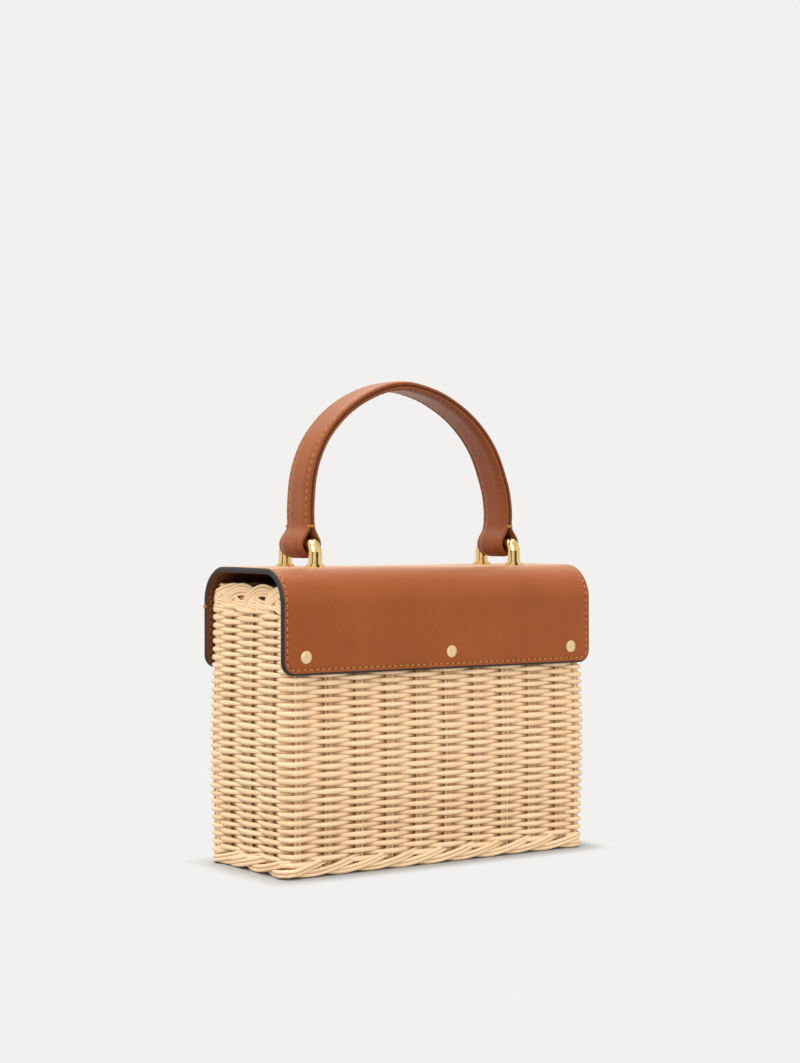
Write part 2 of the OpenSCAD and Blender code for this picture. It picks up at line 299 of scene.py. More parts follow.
def reed_material(name, dark, mid, pale):
    mat, g, shader = new_material(name)
    tone, along, deep = g.attribute("tone"), g.attribute("along"), g.attribute("deep")
    reed = g.node("ShaderNodeCombineXYZ", X=along, Y=tone)
    drawn_out = g.node("ShaderNodeMapping", Vector=reed.outputs[0], Scale=PATCH_STRETCH)
    patch = g.node("ShaderNodeTexNoise", Vector=drawn_out.outputs[0],
                   Scale=1.0, Detail=3.0, Roughness=0.6).outputs[0]
    fibre = g.node("ShaderNodeTexNoise", Vector=g.place(),
                   Scale=1400.0, Detail=3.0, Roughness=0.65).outputs[0]
    shade = g.calc("MULTIPLY_ADD", patch, PATCH_SHARE, g.calc("MULTIPLY", tone, TONE_SHARE))
    colour = g.ramp(shade, (0.2, dark), (0.48, mid), (0.78, pale))
    flecks = g.ramp(fibre, (0.3, FLECK_TINT), (0.55, WHITE))
    flecked = g.multiply(FLECK_SHARE, colour, flecks)
    # Painted shade: the colour darkens towards the dark tint where the reed lies behind the stakes
    g.set(shader, Base_Color=g.multiply(deep, flecked, PAINTED_SHADE_TINT),
          Roughness=0.52, Specular_IOR_Level=0.35)
    g.bump(shader, fibre, strength=0.25, distance=0.0002)
    return mat


# Leather: cloudy colour and gloss, fine pores, and a grain of small cells
PORE_TINT, PORE_SHARE = (0.80, 0.76, 0.72), 0.5
CELL_SHARE = 0.6
LESS_ROUGH, MORE_ROUGH = 0.05, 0.06
SHEEN_TINT = (1.0, 0.66, 0.42)


def leather_material(name, dark, mid, pale, rough, grain=1.0, polish=0.0, sheen=0.0):
    mat, g, shader = new_material(name)
    place = g.place()
    cloud = g.node("ShaderNodeTexNoise", Vector=place,
                   Scale=26.0, Detail=5.0, Roughness=0.55).outputs[0]
    fine = g.node("ShaderNodeTexNoise", Vector=place,
                  Scale=900.0, Detail=4.0, Roughness=0.6).outputs[0]
    cells = g.node("ShaderNodeTexVoronoi", Vector=place, Scale=1300.0).outputs["Distance"]
    colour = g.ramp(cloud, (0.28, dark), (0.5, mid), (0.74, pale))
    pores = g.ramp(fine, (0.32, PORE_TINT), (0.52, WHITE))
    gloss = g.ramp(cloud, (0.3, grey(rough - LESS_ROUGH)), (0.7, grey(rough + MORE_ROUGH)))
    g.set(shader, Base_Color=g.multiply(PORE_SHARE, colour, pores), Roughness=gloss,
          Specular_IOR_Level=0.22, Coat_Weight=polish, Coat_Roughness=0.30,
          Sheen_Weight=sheen, Sheen_Roughness=0.38, Sheen_Tint=SHEEN_TINT)
    height = g.calc("MULTIPLY_ADD", cells, CELL_SHARE, fine)
    g.bump(shader, height, strength=0.16 * grain, distance=0.00025)
    return mat


def thread_material(name, colour, shade):
    mat, g, shader = new_material(name)
    ply = g.node("ShaderNodeTexWave", Vector=g.place(), bands_direction="DIAGONAL",
                 Scale=900.0, Distortion=1.5).outputs["Fac"]
    g.set(shader, Base_Color=g.ramp(ply, (0.15, shade), (0.6, colour)), Roughness=0.7)
    g.bump(shader, ply, strength=0.3, distance=0.0001)
    return mat


# Metal: colour and gloss vary a little, from darker and glossier to paler and duller
DARKER = 0.9
GLOSSIER, DULLER = 0.8, 1.5


def metal_material(name, colour, rough, scratch):
    mat, g, shader = new_material(name)
    wear = g.node("ShaderNodeTexNoise", Vector=g.place(),
                  Scale=160.0, Detail=6.0, Roughness=0.7).outputs[0]
    dark = tuple(c * DARKER for c in colour)
    gloss = g.ramp(wear, (0.3, grey(rough * GLOSSIER)), (0.75, grey(rough * DULLER)))
    g.set(shader, Base_Color=g.ramp(wear, (0.35, dark), (0.6, colour)), Roughness=gloss,
          Metallic=1.0)
    g.bump(shader, wear, strength=scratch, distance=0.0001)
    return mat


REED = reed_material("reed", (0.755, 0.505, 0.283), (0.868, 0.627, 0.383), (0.897, 0.671, 0.434))
# The stakes' reed is darker and warmer than the weavers', a painted shade for the gaps they are seen
# in
STAKE = reed_material("stake_reed", (0.56, 0.32, 0.15), (0.74, 0.50, 0.28), (0.86, 0.66, 0.43))
HIDE = leather_material("tan_leather", (0.249, 0.0537, 0.0068), (0.278, 0.0624, 0.0088),
                        (0.307, 0.0726, 0.0114), rough=0.40, polish=0.08, sheen=1.0)
LINING = leather_material("lining_leather", (0.125, 0.036, 0.0110), (0.150, 0.045, 0.0145),
                          (0.175, 0.055, 0.0185), rough=0.62)
GRIP = leather_material("handle_leather", (0.226, 0.0555, 0.0112), (0.254, 0.0640, 0.0138),
                        (0.282, 0.0735, 0.0165), rough=0.42, polish=0.08, sheen=0.40)
STRAP_EDGE = leather_material("strap_edge", (0.205, 0.0510, 0.0115), (0.228, 0.0580, 0.0138),
                              (0.250, 0.0660, 0.0160), rough=0.45, grain=0.5)
# Painted shade: the seam between the strap's layers is coloured near black
SEAM_SHADE = leather_material("strap_seam_shade", (0.050, 0.016, 0.0060), (0.062, 0.020, 0.0075),
                        (0.075, 0.025, 0.0090), rough=0.60, grain=0.5)
EDGE = leather_material("painted_edge", (0.016, 0.016, 0.017), (0.024, 0.024, 0.026),
                        (0.034, 0.034, 0.036), rough=0.50, grain=0.5)
# Painted shade: the needle holes are drawn as near-black patches on the surface
HOLE_SHADE = leather_material("needle_hole_shade", (0.03, 0.013, 0.007), (0.04, 0.018, 0.01),
                        (0.05, 0.022, 0.012), rough=0.8, grain=0.3)
THREAD = thread_material("ochre_thread", (0.52, 0.22, 0.030), (0.34, 0.13, 0.018))
# Painted shade: a darker copy of the thread, for the stitches on the inner faces
SHADED_THREAD = thread_material("shaded_thread", (0.24, 0.082, 0.013), (0.14, 0.046, 0.008))
BRASS = metal_material("polished_brass", (0.88, 0.61, 0.24), rough=0.08, scratch=0.02)
PALE_BRASS = metal_material("rivet_brass", (0.93, 0.71, 0.40), rough=0.40, scratch=0.02)
STEEL = metal_material("nickel_steel", (0.62, 0.62, 0.63), rough=0.28, scratch=0.05)


# Plan of the basket: the line of the stakes, from the near left corner to the right and round.
# X0 and Y0 are the corners' centres, and R0 is the line's radius there.

X0, Y0 = LENGTH / 2 - CORNER, DEPTH / 2 - CORNER
R0 = CORNER - INSET
ARC = R0 * math.pi / 2
SIDES = [2 * X0, ARC, 2 * Y0, ARC, 2 * X0, ARC, 2 * Y0, ARC]
STARTS = np.concatenate([[0], np.cumsum(SIDES)])
TOTAL = STARTS[-1]
CORNERS = [(X0, -Y0), (X0, Y0), (-X0, Y0), (-X0, -Y0)]
AHEAD = [(1, 0), (0, 1), (-1, 0), (0, -1)]
OUTWARD = [(0, -1), (1, 0), (0, 1), (-1, 0)]

# The walls bulge below mid-height and draw in at the top, the far wall bellies out, and the
# reeds spring out at the corners, given in order from the near right one
BULGE, BULGE_Z, BULGE_SPREAD = 1.3, 66, 36
DRAW_IN, DRAW_IN_Z, DRAW_IN_RISE = 0.5, 118, 30
FAR_BELLY, BELLY_FULL_Y = 1.4, 30
CORNER_SWELL = np.array([2.0, 3.2, 3.2, 1.4])
SWELL_SPREAD = 6.5


def stake_places():
    """The distance of each stake along the plan's line."""
    places = []
    for base, count in ((0, LONG), (2, SHORT), (4, LONG), (6, SHORT)):
        for i in range(count):
            if count == LONG:
                s = STARTS[base] + min(LONG_START + i * LONG_PITCH, LONG_END)
            else:
                s = STARTS[base] + Y0 + (i - (SHORT - 1) / 2) * SHORT_PITCH - SHORT_SHIFT
            places.append(s)
    return np.array(places)


PLACES = stake_places()


def bulge(z):
    z = np.asarray(z, float)
    middle = BULGE * np.exp(-((z - BULGE_Z) / BULGE_SPREAD) ** 2)
    return middle - DRAW_IN * np.clip((z - DRAW_IN_Z) / DRAW_IN_RISE, 0, 1)


def corner_swell(s):
    """How far the reeds spring out where they turn a corner."""
    middle = STARTS[1:8:2] + ARC / 2
    gap = np.abs((s[..., None] - middle + TOTAL / 2) % TOTAL - TOTAL / 2)
    return (CORNER_SWELL * np.exp(-(gap / SWELL_SPREAD) ** 2)).max(-1)


def on_plan(s, out, z):
    """Points at distance s round the stakes' line, out beyond it, at height z, and normals."""
    s = np.asarray(s, float) % TOTAL
    out = np.broadcast_to(np.asarray(out, float), s.shape) + bulge(z)
    z = np.broadcast_to(np.asarray(z, float), s.shape)
    seg = np.clip(np.searchsorted(STARTS, s, side="right") - 1, 0, len(SIDES) - 1)
    t = s - STARTS[seg]
    pos = np.zeros(s.shape + (2,))
    nrm = np.zeros(s.shape + (2,))
    for k in range(len(SIDES)):
        pick = seg == k
        turn = k // 2
        if k % 2 == 0:
            n = np.array(OUTWARD[turn])
            straight = np.array(AHEAD[turn]) * t[pick][:, None]
            pos[pick] = np.array(CORNERS[turn - 1]) + straight + n * R0
        else:
            a = t[pick] / R0 - math.pi / 2 + turn * math.pi / 2
            n = np.stack([np.cos(a), np.sin(a)], -1)
            pos[pick] = np.array(CORNERS[turn]) + R0 * n
        nrm[pick] = n
    pos = pos + out[..., None] * nrm
    pos[..., 1] += FAR_BELLY * np.clip(pos[..., 1] / BELLY_FULL_Y, 0, 1)
    level = np.zeros(s.shape + (1,))
    return np.concatenate([pos, z[..., None]], -1), np.concatenate([nrm, level], -1)


def stake_to_s(q):
    """The distance along the line of a place counted in stakes, such as halfway to the next."""
    whole = np.concatenate([PLACES, [PLACES[0] + TOTAL]])
    q = np.asarray(q, float)
    turns = np.floor(q / STAKES)
    return np.interp(q - turns * STAKES, np.arange(STAKES + 1), whole) + turns * TOTAL


# Weavers: single reeds that pass in front of one stake and behind the next

ROW_LOW, ROW_HIGH, ROWS = 6.6, 149.0, 62
STEPS_TO_STAKE = 6
WAVE_OUT, WAVE_POWER = 2.25, 1.25
WAVE_LOST_TO_SWELL = 0.12
STRAY_OUT, STRAY_UP = 0.072, 0.10
REED_R, REED_R_MIN, REED_R_MAX = 1.20, 1.08, 1.32
REED_SPREAD = 0.06
WAVER, WAVER_RATE = 0.03, 1.7

# How much taller than round a reed is in front of a stake and behind it
FRONT_TALL, BACK_TALL = 0.34, 0.85

# Painted shade on the passes behind the stakes: how dark it is, and the height near the foot where
# it is darkest
SHADE_GAIN, SHADE_LEAST = 1.2, 0.55
SHADE_DARKEST_Z, SHADE_DARKEST_SPREAD = 8, 24


def stray(q, spread):
    """A random shift at each stake, and in between at places q."""
    return np.interp(q, np.arange(STAKES + 1), np.append(rng.normal(0, spread, STAKES), 0))


def build_weave():
    """Every second row, and the rows between them."""
    q = np.arange(0, STAKES, 1 / STEPS_TO_STAKE)
    pitch = (ROW_HIGH - ROW_LOW) / ROWS
    s = stake_to_s(q)
    swell = corner_swell(s)
    halves = [Builder(), Builder()]
    for k in range(ROWS):
        wave = np.cos(math.pi * (q + k))
        wave = np.sign(wave) * np.abs(wave) ** WAVE_POWER
        sideways = stray(q, STRAY_OUT)
        z = ROW_LOW + (k + 0.5) * pitch + stray(q, STRAY_UP)
        out = WAVE_OUT * wave * (1 - WAVE_LOST_TO_SWELL * swell) + swell + sideways
        path, _ = on_plan(s, out, z)
        r = REED_R * (1 + REED_SPREAD * rng.normal()) * (1 + WAVER * np.sin(q * WAVER_RATE + k))
        # Painted shade: passes behind the stakes are darkened, most near the foot
        low = np.exp(-((z - SHADE_DARKEST_Z) / SHADE_DARKEST_SPREAD) ** 2)
        add_tube(halves[k % 2], path, UP, np.clip(r, REED_R_MIN, REED_R_MAX),
                 rng.random(), closed=True,
                 tall=1.0 + np.where(wave > 0, FRONT_TALL, BACK_TALL) * np.abs(wave),
                 deep=np.clip(-SHADE_GAIN * wave, 0, 1) * (SHADE_LEAST + (1 - SHADE_LEAST) * low))
    return halves


for i, half in enumerate(build_weave()):
    obj = half.make(f"weavers_{i + 1}", [REED])
    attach(obj, "basket")
    if i == 0:
        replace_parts(obj, "woven_wall")


# Stakes: three thin reeds side by side

STAKE_LOW, STAKE_HIGH, STAKE_POINTS = 3.5, 151, 24
STAKE_R, STAKE_GAP = 0.88, 1.75
STAKE_STRAY, STAKE_WANDER, STAKE_STRAY_OUT = 0.12, 0.03, 0.1


def build_stakes():
    b = Builder()
    z = np.linspace(STAKE_LOW, STAKE_HIGH, STAKE_POINTS)
    for place in PLACES:
        for side in (-1, 0, 1):
            s = (place + side * STAKE_GAP + rng.normal(0, STAKE_STRAY)
                 + np.cumsum(rng.normal(0, STAKE_WANDER, len(z))))
            path, nrm = on_plan(s, rng.normal(0, STAKE_STRAY_OUT) + corner_swell(s), z)
            add_tube(b, path, nrm, STAKE_R, rng.random())
    return b


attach(build_stakes().make("stakes", [STAKE]), "basket")


# Borders: from each stake a band of reeds runs on along a curve, whose points are the distance
# from the stake, the height and the distance out from the stakes' line

BAND_TAPER = 0.3
BAND_SWELL = 0.8
BAND_R_SPREAD = 0.05
SHARE_OF_STRAY_OUT = 0.5


def band_paths(curve, count, gaps):
    """Parallel paths (s, z, out) beside a middle curve, gaps apart across the wall's face."""
    mid = smooth_path(curve, count)
    n = left_of(mid[:, :2])
    return [(mid[:, 0] + g * n[:, 0], mid[:, 1] + g * n[:, 1], mid[:, 2]) for g in gaps]


def build_bands(curve, count, gaps, radius, spread):
    b = Builder()
    for place in PLACES:
        for s, z, out in band_paths(curve, count, gaps):
            shift = rng.normal(0, spread, 3)
            line = (place + s + shift[0]) % TOTAL
            swell = BAND_SWELL * corner_swell(line)
            path, nrm = on_plan(line, out + SHARE_OF_STRAY_OUT * shift[1] + swell, z + shift[2])
            r = radius * (1 + BAND_R_SPREAD * rng.normal())
            add_tube(b, path, nrm, r, rng.random(), taper=BAND_TAPER)
    return b


# Top border: the reeds rise, fold over as an arch and run on below the next arch
ARCH = [(-3.0, 145.5, 1.5), (-1.6, 149.3, 1.9), (1.2, 153.0, 1.6), (5.4, 156.0, 0.2),
        (10.5, 157.3, -0.9), (15.5, 156.7, -1.9), (20.0, 154.8, -2.6), (24.5, 152.3, -1.4),
        (29.5, 150.0, 1.0), (36.0, 148.4, 2.0), (43.0, 147.8, 1.7), (49.0, 147.4, 0.4)]
ARCH_POINTS, ARCH_GAPS, ARCH_R, ARCH_STRAY = 38, (-2.7, -0.9, 0.9, 2.7), 1.0, 0.15

border = build_bands(ARCH, ARCH_POINTS, ARCH_GAPS, ARCH_R, ARCH_STRAY)
border = border.make("top_border_reeds", [REED])
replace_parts(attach(border, "basket"), "top_border")

# Foot border: pairs of reeds that lie over each other like a rope
FOOT = [(-13, 5.6, -3.0), (-6, 3.9, -1.5), (1, 2.7, 0.6), (9, 2.4, 2.0), (18, 3.6, 2.6),
        (27, 5.6, 2.5), (34, 7.4, 1.6), (40, 8.7, -0.4), (45, 9.3, -2.4)]
FOOT_POINTS, FOOT_GAPS, FOOT_R, FOOT_STRAY = 30, (-1.0, 1.05), 1.12, 0.1

foot = build_bands(FOOT, FOOT_POINTS, FOOT_GAPS, FOOT_R, FOOT_STRAY)
foot = foot.make("foot_border_reeds", [REED])
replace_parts(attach(foot, "basket"), "foot_border")


# Base: reeds along the bag, woven over pairs of cross sticks

BASE_INSET, BASE_Z, BASE_WAVE = 6.5, 2.45, 1.15
BASE_SIDES = 6
BASE_REED_R, BASE_REED_PITCH, BASE_REED_POINTS = 1.12, 2.3, 60
STICKS, STICK_INSET, STICK_GAP, STICK_R, STICK_POINTS = 11, 8, 1.1, 0.95, 8


def build_base():
    b = Builder()
    half_x, half_y = LENGTH / 2 - BASE_INSET, DEPTH / 2 - BASE_INSET
    count = int(2 * half_y / BASE_REED_PITCH)
    x = np.linspace(-half_x, half_x, BASE_REED_POINTS)
    sticks = np.linspace(-half_x + STICK_INSET, half_x - STICK_INSET, STICKS)
    pitch = sticks[1] - sticks[0]
    for i in range(count):
        y = np.full_like(x, (i + 0.5) / count * 2 * half_y - half_y)
        z = BASE_Z + BASE_WAVE * np.cos(math.pi * ((x - sticks[0]) / pitch + i))
        add_tube(b, np.stack([x, y, z], -1), UP, BASE_REED_R, rng.random(), BASE_SIDES)
    y = np.linspace(-half_y, half_y, STICK_POINTS)
    for stick in sticks:
        for side in (-STICK_GAP, STICK_GAP):
            path = np.stack([np.full_like(y, stick + side), y, np.full_like(y, BASE_Z)], -1)
            add_tube(b, path, UP, STICK_R, rng.random(), BASE_SIDES)
    return b


base = build_base().make("base_mat", [REED])
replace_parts(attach(base, "basket"), "woven_base")


# Leather cover: one sheet in an inverted U, measured by t along its section and x along the bag

STRAIGHT = TOP_Z - FOLD_R - FLAP_Z
BEND = FOLD_R * math.pi / 2
FLAT = FRONT_Y - BACK_Y - 2 * FOLD_R
SECTION = np.concatenate([[0], np.cumsum([STRAIGHT, BEND, FLAT, BEND, STRAIGHT])])
COVER_T = SECTION[-1]

# The groove of the stitching, and the pit and ring round a rivet, whose spreads are squared
STITCH_EDGE, GROOVE, GROOVE_WIDTH = 3.0, 0.30, 1.1
RIVET_DENT, PIT_SPREAD, RING_SPREAD, RING_FROM = 0.3, 30, 55, 4.5

# A slight unevenness of the sheet
SWAY, SWAY_X, SWAY_T = 0.18, 31, 23

# Mesh lines: in a corner's arc, between the arcs, near an end (by distance) and between the ends
ARC_ROWS, MIDDLE_ROWS = 17, 90
END_COLUMNS = np.array([0, 0.5, 1.1, 1.7, 2.2, 2.7, 3.3, 4.0, 5.0, 6.5])
MIDDLE_COLUMNS, MIDDLE_SHARE = 80, 0.92

# How far the rounded edge sets in the outer and the inner face, and how deep it goes
OUTER_SET_IN, INNER_SET_IN = 1.25, 0.5
OUTER_ROUND, INNER_ROUND = 1.1, 0.5


def section_at(t):
    """(y, z) and outward normal of the cover's outer face."""
    t = np.asarray(t, float)
    near_y, far_y, fold_z = BACK_Y + FOLD_R, FRONT_Y - FOLD_R, TOP_Z - FOLD_R
    near_a = np.clip((t - SECTION[1]) / FOLD_R, 0, math.pi / 2)
    far_a = np.clip((t - SECTION[3]) / FOLD_R, 0, math.pi / 2)
    near = t < SECTION[2]
    y = np.where(near, near_y - FOLD_R * np.cos(near_a), far_y + FOLD_R * np.sin(far_a))
    z = np.where(near, fold_z + FOLD_R * np.sin(near_a), fold_z + FOLD_R * np.cos(far_a))
    z = np.where(t < SECTION[1], FLAP_Z + t, z)
    z = np.where(t > SECTION[4], FLAP_Z + COVER_T - t, z)
    flat = (t >= SECTION[2]) & (t <= SECTION[3])
    y = np.where(flat, near_y + t - SECTION[2], y)
    ny = np.where(near, -np.cos(near_a), np.sin(far_a))
    nz = np.where(near, np.sin(near_a), np.cos(far_a))
    ny = np.where(flat, 0, ny)
    nz = np.where(flat, 1, nz)
    return y, z, ny, nz


def edge_distance(x, t):
    dx, dt = COVER_L / 2 - np.abs(x), np.minimum(t, COVER_T - t)
    corner = FLAP_R - np.hypot(FLAP_R - dx, FLAP_R - dt)
    return np.where((dx < FLAP_R) & (dt < FLAP_R), corner, np.minimum(dx, dt))


def cover_point(x, t, depth):
    """Points and normals of the sheet, depth below its outer face."""
    x, t = np.broadcast_arrays(np.asarray(x, float), np.asarray(t, float))
    y, z, ny, nz = section_at(t)
    rise = np.zeros_like(x)
    if depth == 0:
        rise = -GROOVE * np.exp(-((edge_distance(x, t) - STITCH_EDGE) / GROOVE_WIDTH) ** 2)
    for rivet_x, rivet_z in RIVETS:
        d2 = (x - rivet_x) ** 2 + (t - (rivet_z - FLAP_Z)) ** 2
        ring = np.exp(-d2 / RING_SPREAD) * np.clip(np.sqrt(d2) / RING_FROM, 0, 1)
        rise += RIVET_DENT * (ring - np.exp(-d2 / PIT_SPREAD))
    off_ends = np.clip(np.sin(math.pi * t / COVER_T), 0, 1)
    rise += SWAY * np.sin(x / SWAY_X + t / SWAY_T) * off_ends
    rise = rise - depth
    point = np.stack([x, y + rise * ny, z + rise * nz], -1)
    normal = np.stack([np.zeros_like(x), ny, nz], -1)
    return point, normal


def cover_rows(edge):
    """Places t along the section and half lengths there, for an outline set in by edge."""
    turn = np.linspace(0, math.pi / 2, ARC_ROWS)
    d = FLAP_R - (FLAP_R - edge) * np.cos(turn)
    h = COVER_L / 2 - FLAP_R + (FLAP_R - edge) * np.sin(turn)
    middle = np.linspace(FLAP_R, COVER_T - FLAP_R, MIDDLE_ROWS)[1:-1]
    t = np.concatenate([d, middle, COVER_T - d[::-1]])
    return t, np.concatenate([h, np.full(len(middle), COVER_L / 2 - edge), h[::-1]])


def build_cover():
    b = Builder()
    ends = 1 - END_COLUMNS / (COVER_L / 2)
    middle = np.linspace(-MIDDLE_SHARE, MIDDLE_SHARE, MIDDLE_COLUMNS)
    across = np.concatenate([-ends, middle, ends[::-1]])
    cols = len(across)

    def sheet(edge, depth):
        t, h = cover_rows(edge)
        return cover_point(across[None, :] * h[:, None], t[:, None], depth)[0]

    outer, inner = sheet(OUTER_SET_IN, 0.0), sheet(INNER_SET_IN, LEATHER)
    rim_a, rim_b = sheet(0.0, OUTER_ROUND), sheet(0.0, LEATHER - INNER_ROUND)
    rows = len(outer)
    quads = grid_faces(rows, cols, False, False)
    b.add(outer, quads, 0)
    b.add(inner, quads[:, ::-1], 1)
    loop = [(0, c) for c in range(cols)]
    loop += [(r, cols - 1) for r in range(1, rows)]
    loop += [(rows - 1, c) for c in range(cols - 2, -1, -1)]
    loop += [(r, 0) for r in range(rows - 2, 0, -1)]
    rings = np.stack([[g[r, c] for r, c in loop] for g in (outer, rim_a, rim_b, inner)])
    b.add(rings, grid_faces(len(rings), len(loop), False, True)[:, ::-1], 2)
    return b


cover = build_cover().make("leather_cover", [HIDE, LINING, EDGE])
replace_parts(cover, "cover_back", "cover_lid")
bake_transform(cover)


# Stitches: short threads with a needle hole between each two, drawn as a dark patch of painted
# shade, in these materials

STITCHING = [THREAD, HOLE_SHADE, SHADED_THREAD]
# UNDER is the thread of the inner faces, darkened as painted shade
OVER, NEEDLE, UNDER = range(3)
STITCH_RINGS, STITCH_SIDES = 6, 6
STITCH_L, STITCH_LIFT = 3.0, 0.10
STITCH_NARROWS, STITCH_THINNEST, STITCH_DIVES = 0.75, 0.05, 0.55
HOLE_SIDES, HOLE_LIFT, HOLE_STRETCH = 8, 0.04, 1.15
HOLE_FACES = np.array([[0, 1, 2, 3], [0, 3, 4, 7], [7, 4, 5, 6]])
TACK_R = 0.42


def add_stitches(b, centre, along, normal, length, radius, lift, material):
    """Short threads that lie on a face; their ends dive into it."""
    u = np.linspace(-1, 1, STITCH_RINGS)
    a = round_angles(STITCH_SIDES)
    side = np.cross(normal, along)
    width = np.sqrt(np.clip(1 - STITCH_NARROWS * np.abs(u) ** 3, STITCH_THINNEST, 1)) * radius
    height = lift * (1 - u ** 2) - STITCH_DIVES * radius * np.abs(u) ** 4
    line = (centre[:, None, :] + along[:, None, :] * (u * length / 2)[None, :, None]
            + normal[:, None, :] * height[None, :, None])
    ring = (np.cos(a)[None, None, :, None] * side[:, None, None, :]
            + np.sin(a)[None, None, :, None] * normal[:, None, None, :])
    verts = line[:, :, None, :] + width[None, :, None, None] * ring
    faces = grid_faces(len(u), len(a), False, True)
    for block in verts:
        b.add(block, faces, material)


# Dark patches of painted shade where the needle holes are
def add_holes(b, centre, along, normal, radius):
    a = round_angles(HOLE_SIDES)[:, None]
    side = np.cross(normal, along)
    for c, t, n, s in zip(centre, along, normal, side):
        ring = c + HOLE_LIFT * n + radius * (np.cos(a) * t * HOLE_STRETCH + np.sin(a) * s)
        b.add(ring, HOLE_FACES, NEEDLE)


def add_seam(b, places, ahead, normal, radius, hole_radius, thread):
    """Stitches and holes in turn."""
    add_stitches(b, places[::2], ahead[::2], normal[::2], STITCH_L, radius, STITCH_LIFT, thread)
    add_holes(b, places[1::2], ahead[1::2], normal[1::2], hole_radius)


def add_tack(b, places, along, normal, length, lift):
    """Threads side by side over an edge."""
    shape = (len(places), 3)
    along = np.broadcast_to(np.array(along, float), shape)
    normal = np.broadcast_to(np.array(normal, float), shape)
    add_stitches(b, np.array(places, float), along, normal, length, TACK_R, lift, OVER)


# Stitching of the cover, and a tack on the far flap's left edge
COVER_PITCH, COVER_THREAD_R, COVER_HOLE_R = 4.0, 0.37, 0.48
OUTLINE_ARC_POINTS = 10
FLAP_TACK_Z, FLAP_TACK_OVER, FLAP_TACK_LIFT = (146.6, 147.4), 0.9, 0.3


def cover_outline(edge, pitch):
    """Places (x, t) of stitches and holes in turn, round an outline set in by edge."""
    r = FLAP_R - edge
    hx, ht = COVER_L / 2 - FLAP_R, COVER_T / 2 - FLAP_R
    arcs = []
    for cx, ct, start in ((hx, -ht, -90), (hx, ht, 0), (-hx, ht, 90), (-hx, -ht, 180)):
        a = np.radians(start + np.linspace(0, 90, OUTLINE_ARC_POINTS))
        arcs.append(np.stack([cx + r * np.cos(a), ct + r * np.sin(a)], -1))
    line = np.concatenate(arcs + [arcs[0][:1]])
    run = run_length(line)
    count = round(run[-1] / pitch)
    s = (np.arange(2 * count) + 0.5) * run[-1] / (2 * count)
    x, t = at_distance(s, run, line).T
    return x, t + COVER_T / 2


def build_cover_stitches():
    b = Builder()
    x, t = cover_outline(STITCH_EDGE, COVER_PITCH)
    for depth, flip, thread in ((0.0, 1.0, OVER), (LEATHER, -1.0, UNDER)):
        p, n = cover_point(x, t, depth)
        ahead = unit(np.roll(p, -1, 0) - np.roll(p, 1, 0))
        add_seam(b, p, ahead, n * flip, COVER_THREAD_R, COVER_HOLE_R, thread)
    tack = [(-COVER_L / 2, FRONT_Y - LEATHER / 2, z) for z in FLAP_TACK_Z]
    add_tack(b, tack, (0, 1, 0), (-1, 0, 0), LEATHER + FLAP_TACK_OVER, FLAP_TACK_LIFT)
    return b


stitching = build_cover_stitches().make("cover_stitching", STITCHING)
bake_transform(stitching)


# Handle: a strap that runs from inside one end, round its bar, over the top and back again

TOP_LINE = [(-73.4, 192), (-73.6, 205), (-71.4, 224.5), (-64.2, 242.5), (-52.5, 257),
            (-38.8, 267.4), (-23.2, 274.8), (-9, 278.0), (5, 277.4), (25, 271.5),
            (45.6, 259), (61.3, 241.5), (71, 219.5), (74, 204), (73.8, 192)]
TOP_POINTS, STRAP_POINTS, SMOOTHINGS = 161, 330, 3

# How far the strap's ends run back inside, how far the lining laps on to them, and how much
# lower its face lies
RETURN, LINING_LAP, LINING_DROP = 36.0, 1.6, 0.08

# Loop round a bar: inner radius, first and last angle in degrees, and points
LOOP_IN_R, LOOP_FROM, LOOP_TO, LOOP_POINTS = 5.0, 46, -226, 34

# Section of a layer: a crowned face with thin rims, rounded edges, and at the back a dark seam of
# painted shade between the layers
FACE_POINTS = 22
CROWN, CROWN_RIM, CROWN_SLOPE = 0.7, 2.6, 3.0
FACE_RIM = 0.7
SEAM_GAP = 0.05

# Points of the edge: how far down from the rim or up from the back, and how far in from the side
RIM_ROUND = ((0.25, 0.2), (0.7, 0.0))
BACK_ROUND = ((0.6, 0.0), (0.2, 0.45))

STRAP_MATERIALS = [GRIP, STRAP_EDGE, SEAM_SHADE]
ON_FACE, ON_EDGE, ON_SEAM_SHADE = range(3)


def arch_line():
    """The seam line between the handle's two layers, and its outward normals."""
    outer = smooth_path(TOP_LINE, TOP_POINTS)
    n = left_of(outer)
    return outer - STRAP_T * n, n


def sweep(b, path, section, materials):
    """A section (out, across) carried along a path in the x-z plane, with a material a side."""
    n = left_of(path)
    verts = np.zeros((len(path), len(section), 3))
    verts[:, :, 0] = path[:, None, 0] + n[:, None, 0] * section[None, :, 0]
    verts[:, :, 1] = section[None, :, 1]
    verts[:, :, 2] = path[:, None, 1] + n[:, None, 1] * section[None, :, 0]
    faces = grid_faces(len(path), len(section), False, True)
    side = np.arange(len(faces)) % len(section)
    first = b.add_points(verts)
    for index in sorted(set(materials)):
        pick = np.isin(side, [i for i, m in enumerate(materials) if m == index])
        b.add_faces(faces[pick] + first, index)
    last = len(section) - 1
    cap_faces = [[i, i + 1, last - 1 - i, last - i] for i in range(len(section) // 2 - 1)]
    for cap in (verts[0, ::-1], verts[-1]):
        b.add(cap, cap_faces, ON_FACE)


